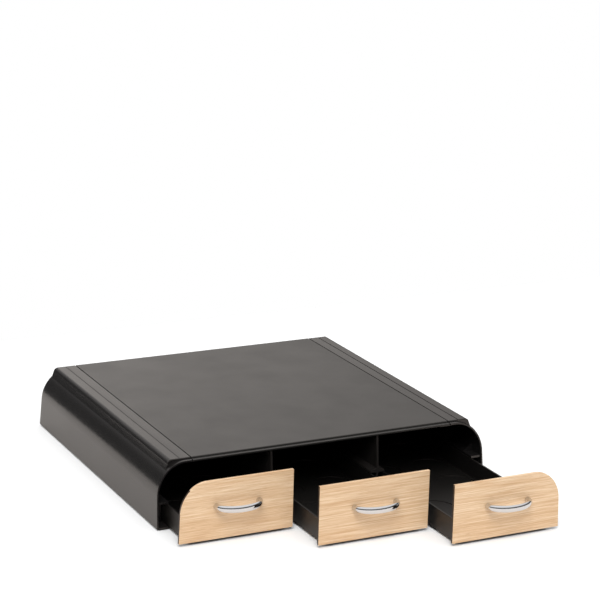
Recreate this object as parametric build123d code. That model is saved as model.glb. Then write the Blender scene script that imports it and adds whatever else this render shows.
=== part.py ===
from build123d import *
from math import cos, radians, sin, tan
import os

# Kitchen drawer case: a low moulded case with a flat top, and three drawers side by side.
# Millimetres, +Z up, the drawers open towards -Y. Everything is drawn with z = 0 at the bottom edge
# of the case and the drawers shut. write() then lifts it all onto its feet and opens the drawers.
# The seats set the size of a tray, the three trays set the width and the depth of the case.

# ---------------------------------------------------------------- case
case_height = 61.8          # bottom edge of the sides to the flat top
side_room = 11.25           # side of an outer tray to the side of the case, at the bottom edge
back_room = 6.5             # back of a shut tray to the back of the case, at the bottom edge
wall = 1.8                  # moulded wall of the shells, top panel lip and back panel
fit_gap = 0.25              # gap round every moulded piece that is set into another
side_draft = 2.1            # degrees that each side leans in
front_lean = 5.6            # degrees that the mouth of the case leans back
back_lean = 6.5             # degrees that the back leans in
shoulder_drop = 31.8        # flat top down to where the side turns into the shoulder
shoulder_radius = 33.0
shoulder_sweep = 45.3       # degrees of shoulder before the step up to the platform
platform_step = 2.7         # top of the shoulder to the edge of the raised platform, seen from above
platform_round = 5.0
platform_setback = 4.5      # front edge of the case to the front edge of the platform
seam_inset = 37.0           # side of the case to the seam beside the top panel
seam_gap = 0.5
groove_inset = 26.0         # side of the case to the fine groove in each shell
groove_width = 1.0
groove_depth = 0.6
lip_height = 3.2            # front lip between the mouth and the flat top, and the top panel behind it
collar_depth = 6.0          # depth of the arched band that frames the mouth
bottom_round = 1.2          # outer bottom edge of each side

# ---------------------------------------------------------------- base, feet and screws
base_thickness = 1.5
foot_diameter = 14.0
foot_stand = 1.0            # how far the rubber feet hold the case off the surface
foot_recess = 0.6
foot_side_inset = 24.0
foot_end_inset = 26.0
screw_shank = 2.6
screw_head = 5.2
screw_head_cone = 1.3
screw_hole_gap = 0.1        # radial play of a screw in its hole
boss_diameter = 6.5
boss_top = 9.0              # top of the base screw bosses above the case's bottom edge
boss_side_inset = 6.2
back_screw_inset = 7.2       # low back screws from the sides
back_screw_low = 14.0        # their height
base_screw_end_inset = 34.0

# ---------------------------------------------------------------- drawers
board_overhang = 6.2        # middle drawer front past each side of its tray
front_spacing = 1.15        # gap between neighbouring drawer fronts
front_gap = 1.0             # gap between a drawer front and the mouth of the case
front_recess = 0.5          # shut front behind the foot of the case's front edge
front_bottom = 1.9
board_thickness = 3.0
outer_tray_shift = 1.5      # outer trays sit this far towards the middle of the case
tray_bottom = 1.9
tray_floor = 1.8
tray_wall = 1.8
tray_top = 22.0
tray_corner = 5.0
seat_diameter = 39.0
seat_depth = 0.8
seat_columns = 2
seat_rows = 6
seat_column_pitch = 51.7
seat_row_pitch = 51.2
seat_side = 2.35            # outer seats to the side walls of the tray
seat_end = 5.7              # last row of seats to the back wall of the tray
first_seat = 26.0           # back of the drawer front to the first row of seats
tab_side = 10.0             # tab past each pull screw
tab_above = 8.7             # tab above the pull screws
tab_corner = 8.0
drawer_travel = 220.0       # shut to the stop
open_left = 44.3            # how far each drawer stands open
open_middle = 94.0
open_right = 136.7

# ---------------------------------------------------------------- guides for the trays
guide_gap = 0.5             # play of a tray between its side guides
guide_height = 5.0
hold_gap = 0.6              # play between a tray wall and the rail above it
hold_thickness = 2.0
hold_overlap = 1.5
divider_web = 2.0
lug_length = 8.0
lug_clearance = 1.5         # stop lugs above the base screw bosses
lug_height = 8.0
lug_reach = 3.0
stop_front = 12.0           # shut front's back face to the stop
stop_thickness = 3.0
stop_gap = 0.7              # play between a stop and the tray wall that runs past it
shut_gap = 0.4              # a shut drawer front to the ends of the guides
fin_thickness = 1.6
fin_count = 6
runner_height = 0.3         # beads under each tray that it slides on
runner_width = 4.0
runner_inset = 12.0
back_boss_length = 9.0

# ---------------------------------------------------------------- top panel
rib_depth = 4.0
rib_thickness = 1.4
tongue_width = 9.0          # ledge of each shell that the top panel rests on
tongue_thickness = 1.8
hook_count = 4
hook_width = 9.0
hook_thickness = 1.4
hook_barb = 1.0
hook_barb_height = 1.2
hook_slot_gap = 0.4
hook_end_inset = 24.0
cross_rib_count = 6
back_rib_drop = 8.4         # underside of the top panel to the rib of the back panel

# ---------------------------------------------------------------- pulls
pull_centres = 42.0         # between the two feet
pull_height = 33.3          # above the case's bottom edge
pull_post = 2.0             # straight part of each foot
pull_arch = 13.1            # rise of the bow beyond the posts, to the bar's middle
pull_foot = 5.6             # round end that stands on the board
pull_bar_height = 6.6
pull_bar_depth = 4.0
pull_screw = 3.0
pull_screw_head = 6.0
pull_screw_head_height = 2.0
pull_screw_bite = 3.4       # how far a screw runs into a foot
bow_stations = 8            # sections along the bow between its posts

# ---------------------------------------------------------------- places worked out from the sizes
tray_width = (seat_columns - 1) * seat_column_pitch + seat_diameter + 2 * (seat_side + tray_wall)
tray_length = first_seat + (seat_rows - 1) * seat_row_pitch + seat_diameter / 2 + seat_end + tray_wall
middle_front_width = tray_width + 2 * board_overhang
bay_pitch = middle_front_width + front_spacing
half_width = bay_pitch - outer_tray_shift + tray_width / 2 + side_room
case_width = 2 * half_width
case_depth = front_recess + board_thickness + tray_length + back_room
half_depth = case_depth / 2
mouth_height = case_height - lip_height
shoulder_start = case_height - shoulder_drop
back_rib_height = mouth_height - back_rib_drop
seam_x = half_width - seam_inset
front_y = -half_depth + front_recess
board_back = front_y + board_thickness
tray_x = [-bay_pitch + outer_tray_shift, 0.0, bay_pitch - outer_tray_shift]
board_x = [-bay_pitch, 0.0, bay_pitch]
open_by = [open_left, open_middle, open_right]
bay_names = ["left", "middle", "right"]
divider_x = (bay_pitch - outer_tray_shift) / 2
tray_gap = bay_pitch - outer_tray_shift - tray_width
tab_width = pull_centres + 2 * tab_side
tab_height = pull_height + tab_above
lug_bottom = boss_top + lug_clearance
hold_bottom = tray_top + hold_gap
stop_y = board_back + stop_front
guide_start = board_back + shut_gap
lug_y = stop_y + stop_thickness + drawer_travel + shut_gap
beyond = 20.0               # how far cutting shapes run past what they cut


def prism_x(sketch, low, high):
    """Sketch in (y, z) carried along X."""
    return extrude(Plane.YZ.offset(low) * sketch, high - low)


def prism_y(sketch, low, high):
    """Sketch in (x, z) carried along Y."""
    return extrude(Plane.XZ.offset(-high) * sketch, high - low)


def prism_z(sketch, low, high):
    """Sketch in (x, y) carried along Z."""
    return extrude(Plane.XY.offset(low) * sketch, high - low)


def block(x0, x1, y0, y1, z0, z1):
    """Plain bar between two corners."""
    return Pos((x0 + x1) / 2, (y0 + y1) / 2, (z0 + z1) / 2) * Box(x1 - x0, y1 - y0, z1 - z0)


def front_plane_y(z):
    """Y of the leaning mouth of the case at height z."""
    return -half_depth + z * tan(radians(front_lean))


def back_plane_y(z):
    """Y of the leaning back of the case at height z."""
    return half_depth - z * tan(radians(back_lean))


def side_view(front_inset, back_inset):
    """The case seen from the side, over its whole width, with its two leaning ends moved in."""
    low = -beyond
    high = case_height + beyond
    corners = [
        (front_plane_y(low) + front_inset, low),
        (back_plane_y(low) - back_inset, low),
        (back_plane_y(high) - back_inset, high),
        (front_plane_y(high) + front_inset, high),
    ]
    return prism_x(make_face(Polyline(*corners, close=True)), -case_width, case_width)


def side_edge(inset):
    """Right-hand side seen from the front: the drafted wall and the shoulder, moved in by inset."""
    lean = radians(side_draft)
    up = Vector(-sin(lean), cos(lean))
    inward = Vector(-cos(lean), -sin(lean))
    foot = Vector(half_width, 0) + inward * inset
    turn = foot + up * (shoulder_start / cos(lean))
    straight = Line(foot - up * beyond, turn)
    shoulder = JernArc(turn, up, shoulder_radius - inset, shoulder_sweep)
    return straight, shoulder


def both_sides(edges, top_left_edge):
    """Close a right-hand outline with its mirror image."""
    left = [mirror(edge, about=Plane.YZ) for edge in edges]
    bottom = Line(edges[0] @ 0, left[0] @ 0)
    return make_face(edges + [top_left_edge] + left + [bottom])


def case_section():
    """Outer outline of the case with its stepped platform, running on below the bottom edge."""
    straight, shoulder = side_edge(0)
    edge_x = (shoulder @ 1).X - platform_step
    step = Line(shoulder @ 1, (edge_x, case_height))
    top = Line((edge_x, case_height), (-edge_x, case_height))
    outline = both_sides([straight, shoulder, step], top)
    corners = [v for v in outline.vertices() if v.Y > case_height - platform_round]
    return fillet(corners, platform_round)


def mouth_section(inset):
    """Arched outline of the mouth, moved in by inset: wall, shoulder, then a tighter curve to the lip."""
    straight, shoulder = side_edge(wall + inset)
    turned = shoulder_sweep + side_draft
    left_over = 90 - turned
    rise = mouth_height - inset - (shoulder @ 1).Y
    crown = JernArc(shoulder @ 1, shoulder % 1, rise / (1 - cos(radians(left_over))), left_over)
    top = Line(crown @ 1, (-(crown @ 1).X, (crown @ 1).Y))
    return both_sides([straight, shoulder, crown], top)


def region(x0, x1, z0, z1):
    """Box in (x, z) that picks a part of a section."""
    return Pos((x0 + x1) / 2, (z0 + z1) / 2) * Rectangle(x1 - x0, z1 - z0)


outer_section = case_section()
middle_of_wall = offset(outer_section, amount=-wall / 2, kind=Kind.INTERSECTION)
inner_section = offset(outer_section, amount=-wall, kind=Kind.INTERSECTION)
whole_case = side_view(0, 0)


# ---------------------------------------------------------------- screws
def flat_screw(length):
    """Countersunk screw with its head's face at z = 0, running up."""
    head = Cone(screw_head / 2, screw_shank / 2, screw_head_cone)
    head = Pos(0, 0, screw_head_cone / 2) * head
    shank = Pos(0, 0, length / 2) * Cylinder(screw_shank / 2, length)
    return head + shank


def flat_screw_hole(depth):
    """Countersunk hole for flat_screw."""
    grow = screw_hole_gap
    head = Pos(0, 0, screw_head_cone / 2) * Cone(
        screw_head / 2 + grow, screw_shank / 2 + grow, screw_head_cone
    )
    return head + Pos(0, 0, depth / 2) * Cylinder(screw_shank / 2 + grow, depth)


def base_screw_places():
    """Four screws into each pair of side bosses, and two into the foot of each divider."""
    side_x = half_width - boss_side_inset
    end_y = half_depth - base_screw_end_inset
    places = []
    for x in (-side_x, -divider_x, divider_x, side_x):
        places += [(x, -end_y), (x, end_y)]
    return places


def back_screw_places():
    """Low and high on each side, in the plane of the leaning back."""
    low_x = half_width - back_screw_inset
    high_x = half_width - seam_inset + 2 * boss_diameter
    right = [(low_x, back_screw_low), (high_x, mouth_height - boss_diameter)]
    return [(side * x, z) for side in (-1, 1) for x, z in right]


def back_frame(x, z, depth):
    """Plane whose Z runs forward from the leaning back, at the given depth below its face."""
    lean = radians(back_lean)
    forward = Vector(0, -cos(lean), -sin(lean))
    face = Vector(x, back_plane_y(z), z)
    return Plane(origin=face + forward * depth, x_dir=(1, 0, 0), z_dir=forward)


# ---------------------------------------------------------------- side shells
def outer_side_guides():
    """Inside of the left shell: the rail over the outer tray, low fins beside it, gussets and the stop."""
    wall_x = -half_width + wall / 2
    tray_side = -half_width + side_room
    rail_end = tray_side + hold_overlap
    hold_top = hold_bottom + hold_thickness
    guides = block(wall_x, rail_end, guide_start, half_depth, hold_bottom, hold_top)
    gusset = make_face(Polyline(
        (wall_x, hold_top), (rail_end, hold_top), (wall_x, hold_top + side_room - wall), close=True))
    fin_pitch = (case_depth - 2 * stop_front) / fin_count
    for i in range(fin_count):
        y = stop_y + stop_thickness + fin_pitch * i
        guides += block(wall_x, tray_side - guide_gap, y, y + fin_thickness, base_thickness, guide_height)
        guides += prism_y(gusset, y, y + fin_thickness)
    stop_side = tray_side - stop_gap
    guides += block(wall_x, stop_side, stop_y, stop_y + stop_thickness, base_thickness, hold_bottom)
    return guides


def base_boss(x, y):
    """Round boss that a base screw bites into, standing on the base plate."""
    height = boss_top - base_thickness
    return Pos(x, y, base_thickness + height / 2) * Cylinder(boss_diameter / 2, height)


def shell_bosses():
    """Bosses of the left shell for the base screws and the back screws, each tied to the skin by a rib."""
    skin_x = -half_width + wall / 2
    bosses = []
    for x, y in base_screw_places():
        if x < -seam_x:
            rib = block(skin_x, x, y - fin_thickness / 2, y + fin_thickness / 2, base_thickness, boss_top)
            bosses += [base_boss(x, y), rib]
    for x, z in back_screw_places():
        if x < -seam_x:
            seat = back_frame(x, z, wall + fit_gap)
            middle = Pos(0, 0, back_boss_length / 2)
            bosses.append(seat * middle * Cylinder(boss_diameter / 2, back_boss_length))
            if z > shoulder_start:
                rib_length = case_height - wall / 2 - z
                rib = Pos(0, rib_length / 2, 0) * Box(fin_thickness, rib_length, back_boss_length)
            else:
                rib_length = x - skin_x
                rib = Pos(-rib_length / 2, 0, 0) * Box(rib_length, fin_thickness, back_boss_length)
            bosses.append(seat * middle * rib)
    return bosses


def base_screw_holes():
    """Countersunk holes through the base plate into the bosses."""
    return [Pos(x, y, 0) * flat_screw_hole(boss_top - base_thickness) for x, y in base_screw_places()]


def back_screw_holes():
    """Holes through the back panel into the shells' bosses."""
    depth = wall + back_boss_length
    return [back_frame(x, z, 0) * flat_screw_hole(depth) for x, z in back_screw_places()]


def platform_front_cut():
    """What is taken off the raised platform behind the front edge, down to the arch of the mouth."""
    raised = outer_section & region(-case_width, case_width, (side_edge(0)[1] @ 1).Y, case_height + beyond)
    raised = prism_y(raised - mouth_section(-wall), -case_depth, 0)
    return raised - side_view(platform_setback, 0)


def side_hollow():
    """What is hollow in the case: the mouth all the way through, and the inside behind the collar."""
    mouth = prism_y(mouth_section(0), -case_depth, case_depth)
    inside = prism_y(inner_section, -case_depth, case_depth) & side_view(collar_depth, -beyond)
    return mouth + inside


def platform_groove():
    """Fine V groove that runs along the platform of the left shell."""
    x = -half_width + groove_inset
    outline = make_face(Polyline(
        (x - groove_width / 2, case_height), (x + groove_width / 2, case_height),
        (x, case_height - groove_depth), close=True))
    return prism_y(outline, -case_depth, case_depth)


def hook_places():
    """Y of the snap hooks along each edge of the top panel."""
    first = front_plane_y(mouth_height) + collar_depth + hook_end_inset
    last = back_plane_y(mouth_height) - wall - hook_end_inset
    return [first + (last - first) * i / (hook_count - 1) for i in range(hook_count)]


def tongue():
    """Ledge of the left shell that carries the edge of the top panel, with slots for its snap hooks."""
    shell_edge = -seam_x - seam_gap / 2
    low = mouth_height - tongue_thickness
    front_end = front_plane_y(mouth_height) + collar_depth - wall
    back_end = back_plane_y(mouth_height) - wall - 2 * fit_gap
    joggle = block(shell_edge - 2 * wall, shell_edge, front_end, back_end, low, case_height - wall / 2)
    ledge = block(shell_edge - wall, shell_edge + tongue_width, front_end, back_end, low, mouth_height)
    slot_x = shell_edge + tongue_width / 2
    slot_width = hook_thickness + 2 * hook_slot_gap
    for y in hook_places():
        ledge -= Pos(slot_x, y, mouth_height) * Box(slot_width, hook_width + 2 * hook_slot_gap, beyond)
    return joggle + ledge


def left_shell():
    """Left side of the case: drafted side, shoulder, edge of the platform and half of the mouth's arch."""
    side = region(-case_width, -seam_x - seam_gap / 2, 0, case_height + beyond)
    skin = prism_y(outer_section & side, -case_depth, case_depth) & whole_case
    skin = fillet(skin.edges().filter_by(Axis.Y).group_by(Axis.Z)[0].sort_by(Axis.X)[0], bottom_round)
    skin -= side_hollow()
    skin -= platform_front_cut()
    skin -= platform_groove()
    inside = outer_side_guides() + shell_bosses()
    inside = inside & prism_y(middle_of_wall, -case_depth, case_depth)
    skin += inside & side_view(0, wall + fit_gap)
    skin += tongue()
    return skin - base_screw_holes() - back_screw_holes()


# ---------------------------------------------------------------- top panel
def snap_hooks():
    """Hooks under both edges of the top panel: a leg through the shell's slot and a barb below it."""
    leg_x = -seam_x - seam_gap / 2 + tongue_width / 2
    catch = mouth_height - tongue_thickness - hook_slot_gap / 2
    tip = catch - hook_barb_height
    half = hook_thickness / 2
    outline = make_face(Polyline(
        (leg_x + half, mouth_height), (leg_x - half, mouth_height), (leg_x - half, catch),
        (leg_x - half - hook_barb, catch), (leg_x - half, tip), (leg_x + half, tip), close=True))
    left = [prism_y(outline, y - hook_width / 2, y + hook_width / 2) for y in hook_places()]
    return left + [mirror(hook, about=Plane.YZ) for hook in left]


def top_ribs():
    """Stiffening ribs under the top panel, with a clear channel over each divider's web."""
    low = mouth_height - rib_depth
    reach_x = seam_x - tongue_width - rib_thickness
    y0 = front_plane_y(mouth_height) + collar_depth
    y1 = back_plane_y(mouth_height) - wall - 2 * fit_gap
    channel = divider_web / 2 + fit_gap
    ribs = []
    beside = channel + rib_thickness / 2
    half = rib_thickness / 2
    by_dividers = [side * divider_x + shift for side in (-1, 1) for shift in (-beside, beside)]
    for x in [-reach_x, 0, reach_x] + by_dividers:
        ribs.append(block(x - half, x + half, y0, y1, low, mouth_height))
    for i in range(cross_rib_count):
        y = y0 + half + (y1 - y0 - rib_thickness) * i / (cross_rib_count - 1)
        ribs.append(block(-reach_x, reach_x, y - half, y + half, low, mouth_height))
    grid = Part() + ribs
    for x in (-divider_x, divider_x):
        grid -= block(x - channel, x + channel, -case_depth, case_depth, 0, mouth_height)
    return grid


def top_panel():
    """Flat panel between the two shells, with the straight part of the front lip along its front."""
    edge = seam_x - seam_gap / 2
    slab = outer_section & region(-edge, edge, mouth_height, case_height + beyond)
    panel = prism_y(slab, -case_depth, case_depth) & whole_case
    panel -= platform_front_cut()
    return panel + top_ribs() + snap_hooks()


# ---------------------------------------------------------------- back, base and dividers
def back_panel():
    """Leaning back set in between the shells and under the top panel, held by four screws."""
    outline = offset(outer_section, amount=-wall - fit_gap, kind=Kind.INTERSECTION)
    outline = outline & region(-case_width, case_width, 0, mouth_height - fit_gap)
    panel = prism_y(outline, 0, case_depth) & (whole_case - side_view(0, wall))
    rib_y = back_plane_y(back_rib_height) - wall
    rib = block(-seam_x + tongue_width, seam_x - tongue_width, rib_y - rib_depth, rib_y + wall / 2,
                back_rib_height, back_rib_height + rib_thickness)
    for x in (-divider_x, divider_x):
        rib -= block(x - divider_web, x + divider_web, 0, case_depth, 0, case_height)
    return panel + rib - back_screw_holes()


def base_plate():
    """Flat plate that the trays slide on, with countersunk holes and pockets for the feet."""
    plate = prism_z(Rectangle(case_width - 2 * (wall + fit_gap), 2 * case_depth), 0, base_thickness)
    plate = plate & side_view(0, wall + fit_gap)
    pocket = Cylinder(foot_diameter / 2 + screw_hole_gap, 2 * foot_recess)
    plate -= [Pos(x, y, 0) * pocket for x, y in foot_places()]
    return plate - base_screw_holes()


def foot_places():
    """Centres of the four rubber feet."""
    x = half_width - foot_side_inset
    y = half_depth - foot_end_inset
    return [(-x, -y), (x, -y), (-x, y), (x, y)]


def rubber_feet():
    """Four round pads pressed into the pockets of the base plate."""
    height = foot_stand + foot_recess
    pad = Pos(0, 0, foot_recess - height / 2) * Cylinder(foot_diameter / 2, height)
    bottom_edge = pad.edges().group_by(Axis.Z)[0]
    pad = chamfer(bottom_edge, foot_stand / 3)
    return [Pos(x, y, 0) * pad for x, y in foot_places()]


def divider(x):
    """Moulded divider between two bays: channel foot, web up to the top panel, hold-down rails and stops."""
    foot_half = tray_gap / 2 - guide_gap
    rail_half = tray_gap / 2 + hold_overlap
    stop_half = tray_gap / 2 - stop_gap
    lip = fin_thickness
    hold_top = hold_bottom + hold_thickness
    outline = region(-divider_web / 2, divider_web / 2, base_thickness, mouth_height)
    outline += region(-foot_half, foot_half, base_thickness, base_thickness + lip)
    for side in (-1, 1):
        outline += Pos(side * (foot_half - lip / 2), (base_thickness + guide_height) / 2) * Rectangle(
            lip, guide_height - base_thickness)
    outline += make_face(Polyline(
        (-rail_half, hold_bottom), (rail_half, hold_bottom), (rail_half, hold_top),
        (divider_web / 2, hold_top + hold_thickness), (-divider_web / 2, hold_top + hold_thickness),
        (-rail_half, hold_top), close=True))
    body = prism_y(outline, guide_start, case_depth)
    body += block(-stop_half, stop_half, stop_y, stop_y + stop_thickness, base_thickness, hold_bottom)
    body = Pos(x, 0, 0) * body
    body += [base_boss(sx, sy) for sx, sy in base_screw_places() if sx == x]
    body = body & side_view(shut_gap + front_recess, wall + fit_gap)
    return body - base_screw_holes()


def base_screws():
    """Countersunk screws up through the base plate."""
    length = boss_top - base_thickness - screw_hole_gap
    return [Pos(x, y, 0) * flat_screw(length) for x, y in base_screw_places()]


def back_screws():
    """Countersunk screws through the back panel into the shells."""
    length = wall + back_boss_length - boss_diameter / 4
    return [back_frame(x, z, 0) * flat_screw(length) for x, z in back_screw_places()]


# ---------------------------------------------------------------- drawers, drawn shut
def seat_places():
    """Centres of the round seats, from the middle of the tray's front edge."""
    columns = [(i - (seat_columns - 1) / 2) * seat_column_pitch for i in range(seat_columns)]
    rows = [first_seat + i * seat_row_pitch for i in range(seat_rows)]
    return [(x, y) for x in columns for y in rows]


def rounded_rect(width, depth, radius, y0):
    """Rounded rectangle in (x, y) whose front side is at y0."""
    return Pos(0, y0 + depth / 2) * RectangleRounded(width, depth, radius)


def tray(x, board_middle):
    """Low open tray with round seats, runners below, stop lugs, and the tab that the pull screws to."""
    body = prism_z(rounded_rect(tray_width, tray_length, tray_corner, 0), tray_bottom, tray_top)
    inner_width = tray_width - 2 * tray_wall
    inner_length = tray_length - 2 * tray_wall
    cavity = rounded_rect(inner_width, inner_length, tray_corner - tray_wall, tray_wall)
    body -= prism_z(cavity, tray_bottom + tray_floor, tray_top + beyond)
    seat_low = tray_bottom + tray_floor - seat_depth
    body -= [Pos(sx, sy, seat_low + seat_depth) * Cylinder(seat_diameter / 2, 2 * seat_depth)
             for sx, sy in seat_places()]
    for side in (-1, 1):
        runner_x = side * (tray_width / 2 - runner_inset)
        body += block(runner_x - runner_width / 2, runner_x + runner_width / 2, tray_corner,
                      tray_length - tray_corner, tray_bottom - runner_height, tray_bottom)
        face = side * tray_width / 2
        ends = sorted((face - side * tray_wall / 2, face + side * lug_reach))
        y0 = lug_y - board_back
        body += block(ends[0], ends[1], y0, y0 + lug_length, lug_bottom, lug_bottom + lug_height)
    tab_low = tray_top - tab_corner
    tab_outline = Pos(board_middle - x, (tab_low + tab_height) / 2) * RectangleRounded(
        tab_width, tab_height - tab_low, tab_corner)
    body += prism_y(tab_outline, 0, tray_wall)
    return Pos(x, board_back, 0) * body - pull_screw_holes(board_middle)


def pull_screw_holes(board_middle):
    """Clearance holes of the two pull screws, through the board and the tray's tab."""
    depth = 2 * (board_thickness + tray_wall) + beyond
    hole = Rot(90, 0, 0) * Cylinder(pull_screw / 2 + screw_hole_gap, depth)
    places = [board_middle + side * pull_centres / 2 for side in (-1, 1)]
    return [Pos(x, board_back, pull_height) * hole for x in places]


def drawer_front(index):
    """Thin wood-faced board. The outer ones follow the shoulder of the mouth, the middle one is plain."""
    middle = board_x[index]
    half = middle_front_width / 2
    x0 = -case_width if index == 0 else middle - half
    x1 = case_width if index == 2 else middle + half
    outline = mouth_section(front_gap) & region(x0, x1, front_bottom, case_height)
    return prism_y(outline, front_y, board_back) - pull_screw_holes(middle)


def pull(board_middle):
    """Bow pull: two round feet that swell into a taller and flatter arched bar."""
    path = []
    half = pull_centres / 2
    path.append((-half, 0.0, Vector(0, -1)))
    for i in range(bow_stations + 1):
        turn = radians(180.0 * i / bow_stations)
        point = (-half * cos(turn), -pull_post - pull_arch * sin(turn))
        along = Vector(half * sin(turn), -pull_arch * cos(turn)).normalized()
        path.append((point[0], point[1], along))
    path.append((half, 0.0, Vector(0, 1)))
    sections = []
    for px, py, along in path:
        thin = sin(radians(90.0 * min(1.0, -py / (pull_post + pull_arch))))
        tall = pull_foot + (pull_bar_height - pull_foot) * thin
        deep = pull_foot + (pull_bar_depth - pull_foot) * thin
        frame = Plane(origin=(px, py, 0), x_dir=(0, 0, 1), z_dir=(along.X, along.Y, 0))
        sections.append(frame * Ellipse(tall / 2, deep / 2))
    bar = Pos(board_middle, front_y, pull_height) * loft(sections)
    hole = Rot(90, 0, 0) * Cylinder(pull_screw / 2 + screw_hole_gap, 2 * (pull_screw_bite + screw_hole_gap))
    return bar - [Pos(board_middle + side * half, front_y, pull_height) * hole for side in (-1, 1)]


def pull_screws(board_middle):
    """Two pan-head screws from inside the tray, through the tab and the board, into the pull's feet."""
    head_face = board_back + tray_wall
    tip = front_y - pull_screw_bite
    shank = Pos(0, (head_face + tip) / 2, 0) * Rot(90, 0, 0) * Cylinder(pull_screw / 2, head_face - tip)
    head = Rot(90, 0, 0) * Cylinder(pull_screw_head / 2, pull_screw_head_height)
    head = Pos(0, head_face + pull_screw_head_height / 2, 0) * head
    screw = shank + head
    return [Pos(board_middle + side * pull_centres / 2, 0, pull_height) * screw for side in (-1, 1)]


# ---------------------------------------------------------------- put together and written
def write(name, shape, open_distance=0.0):
    """Lift the piece onto its feet, open its drawer and write it."""
    placed = Compound(children=[Pos(0, -open_distance, foot_stand) * s for s in solids_of(shape)])
    export_step(placed, os.path.join("parts", name + ".step"))


def solids_of(shape):
    """Solids of one shape or of a list of shapes."""
    if isinstance(shape, list):
        return [solid for item in shape for solid in item.solids()]
    return list(shape.solids())


os.makedirs("parts", exist_ok=True)
shell = left_shell()
write("left_side_shell", shell)
write("right_side_shell", mirror(shell, about=Plane.YZ))
write("top_panel", top_panel())
write("back_panel", back_panel())
write("base_plate", base_plate())
write("left_divider", divider(-divider_x))
write("right_divider", divider(divider_x))
write("rubber_feet", rubber_feet())
write("base_screws", base_screws())
write("back_screws", back_screws())
for index, bay in enumerate(bay_names):
    write(bay + "_tray", tray(tray_x[index], board_x[index]), open_by[index])
    write(bay + "_front", drawer_front(index), open_by[index])
    write(bay + "_pull", pull(board_x[index]), open_by[index])
    write(bay + "_pull_screws", pull_screws(board_x[index]), open_by[index])
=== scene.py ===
import math

import bmesh
import bpy
from mathutils import Matrix, Vector


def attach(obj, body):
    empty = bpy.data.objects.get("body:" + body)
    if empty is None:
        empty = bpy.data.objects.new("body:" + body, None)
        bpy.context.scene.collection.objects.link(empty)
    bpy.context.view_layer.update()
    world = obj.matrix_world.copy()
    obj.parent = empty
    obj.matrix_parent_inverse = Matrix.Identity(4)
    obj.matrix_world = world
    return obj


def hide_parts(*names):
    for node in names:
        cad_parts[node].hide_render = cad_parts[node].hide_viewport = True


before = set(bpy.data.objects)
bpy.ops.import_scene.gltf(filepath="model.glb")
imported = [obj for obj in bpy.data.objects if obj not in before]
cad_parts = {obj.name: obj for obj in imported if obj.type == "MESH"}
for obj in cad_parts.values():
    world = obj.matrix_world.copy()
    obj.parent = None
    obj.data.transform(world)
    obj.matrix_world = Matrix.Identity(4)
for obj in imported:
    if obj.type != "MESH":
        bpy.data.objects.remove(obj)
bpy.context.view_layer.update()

# ---- camera
# The photograph's view: a long lens from the left of the drawers and above, fitted to the case's edges,
# with the slight roll that its leaning verticals show.
turn_left = 0.465           # radians, as are the next two
look_down = 0.268
camera_roll = 0.026
camera_distance = 2.0344    # metres, as is the point it looks at
look_at = Vector((0.04701, 0.0008, 0.15379))
focal_pixels = 2040.1
image_pixels = 600
sensor_width = 36.0

away = Vector((
    -math.sin(turn_left) * math.cos(look_down),
    -math.cos(turn_left) * math.cos(look_down),
    math.sin(look_down),
))
camera_data = bpy.data.cameras.new("camera")
camera_data.sensor_width = sensor_width
camera_data.lens = focal_pixels / image_pixels * sensor_width
camera_data.clip_end = 50.0
camera = bpy.data.objects.new("camera", camera_data)
bpy.context.scene.collection.objects.link(camera)
camera.location = look_at + away * camera_distance
camera.rotation_mode = "XYZ"
camera.rotation_euler = away.to_track_quat("Z", "Y").to_euler()
camera.rotation_euler.rotate_axis("Z", camera_roll)
bpy.context.scene.camera = camera
bpy.context.scene.view_settings.view_transform = "Standard"


# ---- studio
# A matt white table under an even white sky that darkens towards the horizon, which gives the shoulders and
# the pulls their dark lines. One soft lamp from high behind the camera lays the shadow, and a white card
# behind the object is what the flat top mirrors.
def linear(hex_colour):
    """sRGB hex to the linear colour that a shader takes."""
    parts = [int(hex_colour[i:i + 2], 16) / 255 for i in (1, 3, 5)]
    return tuple(p / 12.92 if p <= 0.04045 else ((p + 0.055) / 1.055) ** 2.4 for p in parts) + (1.0,)


def add_node(tree, kind, values=None, links=None, stops=(), **settings):
    """One shader node with its settings, socket values, links and the (position, colour) stops of a ramp."""
    node = tree.nodes.new(kind)
    for name, value in settings.items():
        setattr(node, name, value)
    for socket, value in (values or {}).items():
        node.inputs[socket].default_value = value
    for socket, source in (links or {}).items():
        tree.links.new(source, node.inputs[socket])
    for number, (position, colour) in enumerate(stops):
        if number == len(node.color_ramp.elements):
            node.color_ramp.elements.new(position)
        node.color_ramp.elements[number].position = position
        node.color_ramp.elements[number].color = colour
    return node


def new_material(name):
    """Empty node material and its tree."""
    material = bpy.data.materials.new(name)
    material.use_nodes = True
    material.node_tree.nodes.clear()
    return material, material.node_tree


def grey(level):
    """Neutral linear colour."""
    return level, level, level, 1.0


horizon_level, sky_level = 0.1, 1.0
horizon_height, sky_height = 0.28, 0.62
key_towards, key_strength, key_width = (0.35, 0.62, -0.9), 2.1, 35
table_left, table_right, table_front, table_back = -1.6, 1.6, -2.2, 0.46
card_centre, card_size = (1.0, 2.1, 0.75), (2.0, 1.0)
card_level_left, card_level_right = 1.2, 0.55
warm_white = (1.0, 0.955, 0.915, 1.0)
table_level, mirrored_level = 0.9, 0.8      # the table as the eye sees it, and as shiny pieces mirror it

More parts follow.
